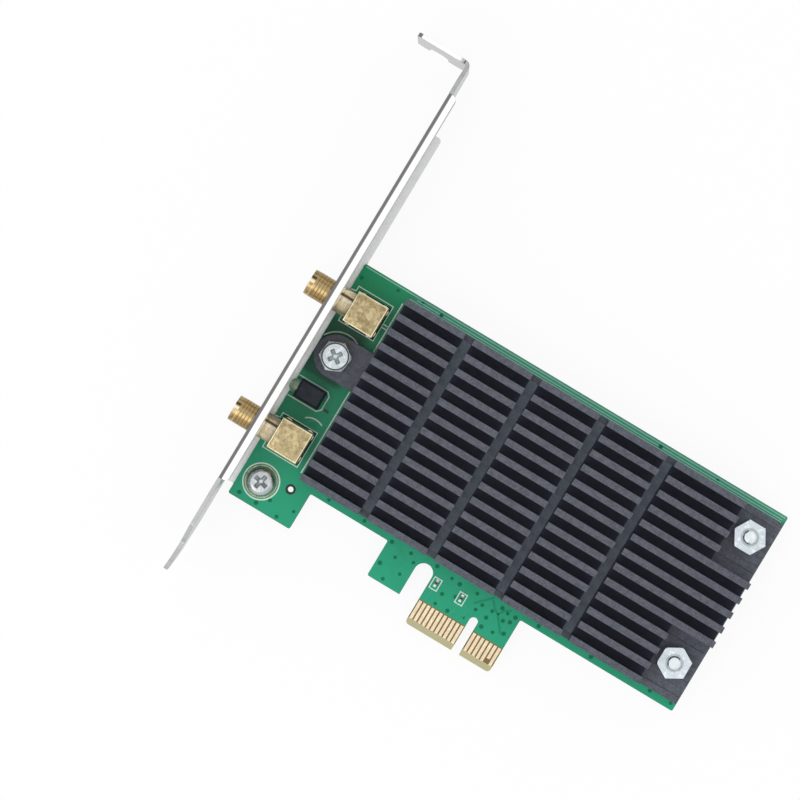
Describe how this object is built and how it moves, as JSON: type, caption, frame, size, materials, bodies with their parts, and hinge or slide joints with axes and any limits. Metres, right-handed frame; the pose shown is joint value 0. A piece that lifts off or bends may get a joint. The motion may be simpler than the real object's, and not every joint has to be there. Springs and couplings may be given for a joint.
{
  "type": "pci express wireless network card",
  "caption": "Short PCI Express wireless card: green board with edge connector, black finned heatsink, gold threaded antenna jacks, status lamp and full-height steel bracket.",
  "frame": {"origin": "middle of the key notch on the connector edge, in the plane of the board's solder face", "axes": "+X along the board away from the bracket, +Y across the board away from the connector edge, +Z out of the component side"},
  "size_m": [0.1159, 0.12, 0.0195],
  "materials": {
    "board": "green solder mask over glass laminate, bare tan laminate at the bevel",
    "gold": "gold plate, brushed",
    "bracket": "nickel-plated sheet steel, fine grain",
    "heatsink": "black anodised, matt",
    "screw": "bright zinc plate",
    "insulator": "white fluoropolymer",
    "black_plastic": "black moulding",
    "lamp": "clear tinted epoxy",
    "lead": "tinned wire and solder",
    "chip": "black moulding compound",
    "chip_ceramic": "fired ceramic with tinned ends",
    "pad": "soft silicone, matt"
  },
  "bodies": {
    "root": {"circuit_board": "board", "edge_contacts_front": "gold", "edge_contacts_back": "gold", "bracket": "bracket", "heatsink": "heatsink", "board_screw": "screw", "lug_screw": "screw", "heatsink_screw_lower": "screw", "heatsink_screw_upper": "screw", "heatsink_nut_lower": "screw", "heatsink_nut_upper": "screw", "antenna_jack_lower": "gold", "antenna_jack_upper": "gold", "jack_insulator_lower": "insulator", "jack_insulator_upper": "insulator", "jack_contact_lower": "gold", "jack_contact_upper": "gold", "amplifier_lower": "chip", "amplifier_upper": "chip", "lamp_holder": "black_plastic", "lamp": "lamp", "lamp_leads": "lead", "lamp_resistor": "chip_ceramic", "coupling_capacitors": "chip_ceramic", "radio_chip": "chip", "thermal_pad": "pad", "crystal": "lead", "regulator": "chip", "power_inductor": "chip", "bypass_capacitors": "chip_ceramic", "solder_joints": "lead"}
  },
  "joints": []
}
